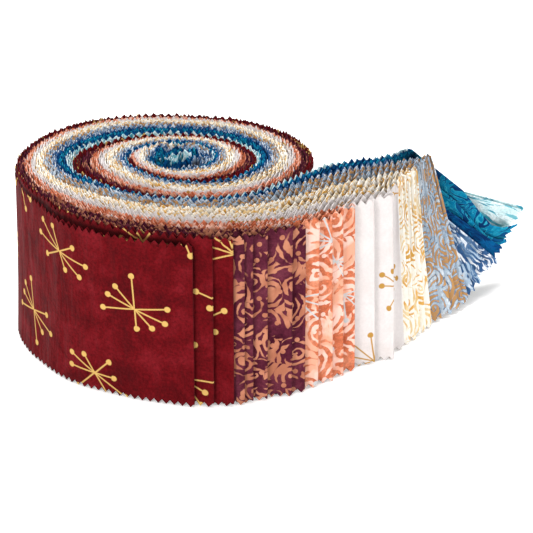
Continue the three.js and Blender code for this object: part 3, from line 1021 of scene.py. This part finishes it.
@dataclass
class FoldedStrip:
    """A strip of cloth with pinked edges, folded in half at its loose end and wound into the roll."""

    order: int
    end: LooseEnd
    winding: Winding
    crumple: Crumple
    width: float = 63.5
    length: float = STRIP_LENGTH
    cloth_thickness: float = 0.2
    tooth_pitch: float = 2.9
    tooth_depth: float = 1.7
    pivot_rise: float = 4.0
    fold_width: float = 1.3
    fold_steps: int = 5
    fold_reach: float = 3.0
    bow_skew: float = 3.8
    flare: float = 0.9
    flare_reach: float = 5.0
    ragged: float = 0.25
    # How far the rim sways from column to column, and rolls softly over some columns.
    sway: float = 0.14
    foot_sway: float = 0.05
    roll: float = 0.3
    roll_step: int = 7
    heave: float = 0.22
    heave_step: int = 20
    # The first column stands this far from the fold.
    first_gap: float = 0.05
    # Middle lines of two pressed layers are this far apart at most.
    pressed_gap: float = 0.42
    neighbour_gap: float = 0.25
    # In the fan, the notches of the top edge are this part of their depth.
    fan_cut: float = 0.5
    sharp_angle: float = 42.0
    rows: tuple[float, ...] = (0.0, 0.07, 0.16, 0.3, 0.5, 0.92, 1.0)
    lifts: Table = ((0, 0), (0.08, 0.5), (0.25, 1.0), (0.6, 1.5), (1, 1.0))
    # The back of the tail rises behind the roll and sags towards its end: route and rise.
    tail_rise: Table = ((-40, 0), (50, 1.6), (74, 1.8), (86, 0.3), (98, -1.6), (110, -2.3))
    # Only the strips at the back of the stack rise so: between these shares.
    rising: Pair = (0.35, 0.55)
    # The lift of the loose end gives way to that of the roll between these routes.
    settle: Pair = (40.0, 110.0)
    # The strips were cut together, so their teeth fall in step: nearly so at this route.
    step_route: float = -435.0
    step_lag: float = 0.25
    # Painted contact shadow: beyond a neighbour's fold, the painted shade fades out between these
    # distances.
    shadow_reach: Pair = (-3.0, 1.3)
    rim_points: int = 40
    # The outermost layers lie free, and their painted shade fades out, from these routes on.
    front_free_from: float = -345.0
    back_free_from: float = 45.0
    free_reach: float = 10.0
    strips: int = len(LOOSE_ENDS)

    @property
    def share(self) -> float:
        """Where the strip lies across the stack."""
        return (self.order + 0.5) / self.strips

    @property
    def name(self) -> str:
        """The piece's name, which counts the strips of one cloth from the front."""
        same = [i for i, end in enumerate(LOOSE_ENDS) if end.cloth is self.end.cloth]
        return f"{self.end.cloth.slot}_folded_strip_{same.index(self.order) + 1}"

    def stations(self) -> tuple[Array, Array]:
        """Distance from the pivot and route, at close points of the strip's middle line."""
        start = self.winding.inner_route(self.share)
        pivot = self.end.pivot
        route = np.concatenate([np.arange(start, 0, 1.0), np.arange(0, pivot, 1.0), [pivot]])
        plan, _, _, _ = self.winding.place(route, self.share, np.full_like(route, 0.5), self.strips)
        plan = self.crumple.moved(plan)
        steps = np.linalg.norm(np.diff(plan, axis=0), axis=1)
        travelled = np.concatenate([[0], np.cumsum(steps)])
        return travelled[-1] - travelled, route

    def columns(self) -> dict[str, Array]:
        """Places the columns of one layer, half a tooth apart, from the fold to the inner end.

        Returns:
            Each column's distance from the fold, depth of notch, route and part of the swing.
        """
        half_tooth = self.tooth_pitch / 2
        fan = (self.width + self.pivot_rise) * radians(self.end.swing)
        from_pivot, route = self.stations()
        total = min(fan + from_pivot[0], self.length / 2)
        order = np.argsort(from_pivot)
        # The second strip lies half a tooth on, which closes the outline of the rim.
        lag = self.step_lag * self.order + (half_tooth if self.order == 1 else 0)
        in_step = np.interp(-self.step_route, -route[order], from_pivot[order]) + fan + lag
        tip = in_step % self.tooth_pitch
        first = tip % half_tooth + self.first_gap
        flat = np.concatenate([[0.0], np.arange(first, total, half_tooth)])
        teeth = (flat - tip - self.first_gap) / half_tooth
        past_pivot = np.maximum(flat - fan, 0)
        return {
            "flat": flat,
            "notch": self.tooth_depth * np.abs((teeth + 1) % 2 - 1),
            "route": np.interp(past_pivot, from_pivot[order], route[order]),
            "part": np.where(flat < fan, 1 - flat / max(fan, 1e-6), 0.0),
        }

    def layer(
        self, columns: dict[str, Array], side: float, draw: np.random.Generator
    ) -> dict[str, Array]:
        """Places one layer of the folded strip.

        Args:
            columns: What columns() gives.
            side: 1 for the front layer and -1 for the back one.
            draw: The strip's random numbers.

        Returns:
            By column and row: middle points, directions to the front and along, flat heights and
            how closely the neighbours cover them, which weights the painted shade.
        """
        rows = np.array(self.rows)
        count, height_count = len(columns["flat"]), len(rows)
        part = columns["part"][:, None]
        notch = columns["notch"]
        cut = np.zeros((count, height_count))
        cut[:, 0] = notch
        cut[:, -1] = -np.where(columns["part"] > 0, self.fan_cut * notch, notch)
        flat_height = self.width * rows[None, :] + cut
        radius = self.width + self.pivot_rise - flat_height
        down_fold = np.clip(radius - self.pivot_rise, 0, self.width) / self.width
        bow = self.end.bow * np.sin(pi * down_fold**self.bow_skew)
        swing = part * (radians(self.end.swing) - bow / radius)
        height = self.width + self.pivot_rise - radius * np.cos(swing) - self.end.sink * part**2
        route = columns["route"][:, None] + radius * np.sin(swing)
        height_part = np.clip(height / self.width, 0, 1)
        plan, front, course, pitch = self.winding.place(route, self.share, height_part, self.strips)
        plan = self.crumple.moved(plan)
        from_fold = columns["flat"][:, None]
        apart = np.minimum(0.5 * pitch, self.pressed_gap)
        room = np.maximum(pitch - self.neighbour_gap, self.pressed_gap)
        open_fold = np.minimum(self.fold_width, room)
        apart = apart + (open_fold - apart) * np.exp(-from_fold / self.fold_reach)
        flare = self.flare * np.exp(-from_fold / self.flare_reach)
        sway = np.zeros((count, height_count))
        sway[:, -1] = draw.normal(0, self.sway, count)
        sway[:, -1] += self.soft_wave(count, self.roll_step, self.roll, draw)
        sway[:, 0] = draw.normal(0, self.foot_sway, count)
        plan = plan + front * (side * apart / 2 + sway + flare)[..., None]
        wound = smoothstep(*self.settle, -route)
        lift = read_table(self.lifts, self.share)
        lift = lift + self.end.lift * (1 - wound) + self.end.wound_lift * wound
        lift = lift + read_table(self.tail_rise, route) * smoothstep(*self.rising, np.array(self.share))
        heave = self.soft_wave(count, self.heave_step, self.heave, draw)
        lift = lift + self.crumple.lift(plan) + heave[:, None]
        height = height + lift * height_part
        height[:, -1] += draw.normal(0, self.ragged, count)
        climb = np.broadcast_to(np.sin(swing), height.shape)
        return {
            "middle": np.dstack([plan, height]),
            "front": np.dstack([front, np.zeros((count, height_count))]),
            "course": np.dstack([course * np.cos(swing)[..., None], climb]),
            "flat_height": flat_height,
            "painted_shade_cover": self.painted_shade_cover(route, height, side),
        }

    def painted_shade_cover(self, route: Array, height: Array, side: float) -> Array:
        """How much painted shade a layer takes where neighbours cover it, from 0 where free to 1.

        Args:
            route: Where along the line.
            height: Millimetres above the foot.
            side: 1 for the front layer and -1 for the back one.

        Returns:
            One number a point.
        """
        over = LOOSE_ENDS[: self.order] if side > 0 else LOOSE_ENDS[self.order + 1 :]
        if not over:
            free_from = self.front_free_from if side > 0 else self.back_free_from
            return 1 - smoothstep(free_from - self.free_reach, free_from, route)
        beyond = route - np.max([self.rim(other, height) for other in over], axis=0)
        return 1 - smoothstep(*self.shadow_reach, beyond)

    def rim(self, end: LooseEnd, height: Array) -> Array:
        """Route of a loose end's fold at given heights.

        Args:
            end: The loose end.
            height: Millimetres above the foot.

        Returns:
            The fold's route at each height.
        """
        radius = np.linspace(self.pivot_rise, self.width + self.pivot_rise, self.rim_points)
        down_fold = (radius - self.pivot_rise) / self.width
        swing = radians(end.swing) - end.bow * np.sin(pi * down_fold**self.bow_skew) / radius
        rim_height = self.width + self.pivot_rise - radius * np.cos(swing) - end.sink
        return np.interp(-height, -rim_height, end.pivot + radius * np.sin(swing))

    def soft_wave(self, count: int, step: int, reach: float, draw: np.random.Generator) -> Array:
        """Random numbers that change softly from column to column.

        Args:
            count: How many columns.
            step: Columns between two random numbers.
            reach: Their spread in millimetres.
            draw: The strip's random numbers.

        Returns:
            One number a column.
        """
        knots = np.arange(0, count + 2 * step, step)
        return np.interp(np.arange(count), knots, draw.normal(0, reach, len(knots)))

    def ribbon(self) -> dict[str, Array]:
        """Joins the front layer, the fold and the back layer into one run of columns.

        Returns:
            Middle points, thickness directions and places on the cloth, by column and row.
        """
        draw = np.random.default_rng(FIRST_SEED + self.order)
        columns = self.columns()
        front = self.layer(columns, 1.0, draw)
        back = self.layer(columns, -1.0, draw)
        centre = (front["middle"][0] + back["middle"][0]) / 2
        half = (front["middle"][0] - back["middle"][0]) / 2
        reach = np.linalg.norm(half, axis=-1, keepdims=True)
        turns = [pi * step / self.fold_steps for step in range(1, self.fold_steps)]
        out, course = half / reach, front["course"][0]
        ways = np.array([out * np.cos(turn) + course * np.sin(turn) for turn in turns])
        flat = columns["flat"]
        run = self.length / 2 + np.concatenate([-flat[::-1], np.zeros(len(turns)), flat])
        run += self.order * RUN_STEP
        up, painted_shade_cover = (
            np.concatenate([front[key][::-1], np.repeat(front[key][:1], len(turns), axis=0), back[key]])
            for key in ("flat_height", "painted_shade_cover")
        )
        return {
            "middle": np.concatenate([front["middle"][::-1], centre + ways * reach, back["middle"]]),
            "normal": np.concatenate([front["front"][::-1], ways, -back["front"]]),
            "place": np.dstack([np.broadcast_to(run[:, None], up.shape), up, painted_shade_cover]),
        }

    def mesh(self) -> bpy.types.Mesh:
        """Gives the ribbon its thickness and turns it to a closed mesh in metres."""
        ribbon = self.ribbon()
        offset = ribbon["normal"] * self.cloth_thickness / 2
        outside = ribbon["middle"] + offset
        inside = (ribbon["middle"] - offset)[:, ::-1]
        rings = np.concatenate([outside, inside], axis=1)
        count, size = rings.shape[:2]
        rows = size // 2
        start = (np.arange(count - 1) * size)[:, None]
        ring = np.arange(size)[None, :]
        following = (np.arange(size) + 1) % size
        faces = np.stack(
            [start + ring, start + size + ring, start + size + following, start + following], axis=-1
        ).reshape(-1, 4)
        low = np.arange(rows - 1)
        cap = np.stack([low, low + 1, size - 2 - low, size - 1 - low], axis=-1)
        last = (count - 1) * size
        faces = np.concatenate([faces, cap, (last + cap)[:, ::-1]])
        mesh = bpy.data.meshes.new(self.name)
        mesh.from_pydata((rings.reshape(-1, 3) * MM).tolist(), [], faces.tolist())
        places = np.concatenate([ribbon["place"], ribbon["place"][:, ::-1]], axis=1)
        attribute = mesh.attributes.new(CLOTH_PLACE, "FLOAT_VECTOR", "POINT")
        attribute.data.foreach_set("vector", places.reshape(-1).astype(np.float32))
        mesh.shade_smooth()
        mesh.set_sharp_from_angle(angle=radians(self.sharp_angle))
        return mesh

    def build(self, material: bpy.types.Material) -> bpy.types.Object:
        """Makes the piece and tells the frame what it is.

        Args:
            material: The strip's cloth.

        Returns:
            The piece.
        """
        mesh = self.mesh()
        mesh.materials.append(material)
        piece = add_object(self.name, mesh)
        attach(piece, "root")
        slot = self.end.cloth.slot
        sheets = [f"{slot}_strip_{self.end.sheet}"] if self.end.sheet else []
        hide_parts("wound_roll", *sheets)
        log.info("%s: %d faces", self.name, len(mesh.polygons))
        return piece


@dataclass
class FabricRoll:
    """The whole roll of strips."""

    winding: Winding = field(default_factory=Winding)
    crumple: Crumple = field(default_factory=Crumple)

    def build(self) -> None:
        """Makes every strip, from the front of the stack to its back."""
        cloths: dict[str, bpy.types.Material] = {}
        for order, end in enumerate(LOOSE_ENDS):
            if end.cloth.name not in cloths:
                cloths[end.cloth.name] = end.cloth.material()
            FoldedStrip(order, end, self.winding, self.crumple).build(cloths[end.cloth.name])


def main() -> None:
    logging.basicConfig(level=logging.INFO, format="%(message)s")
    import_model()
    Studio().build()
    FabricRoll().build()


if __name__ == "__main__":
    main()
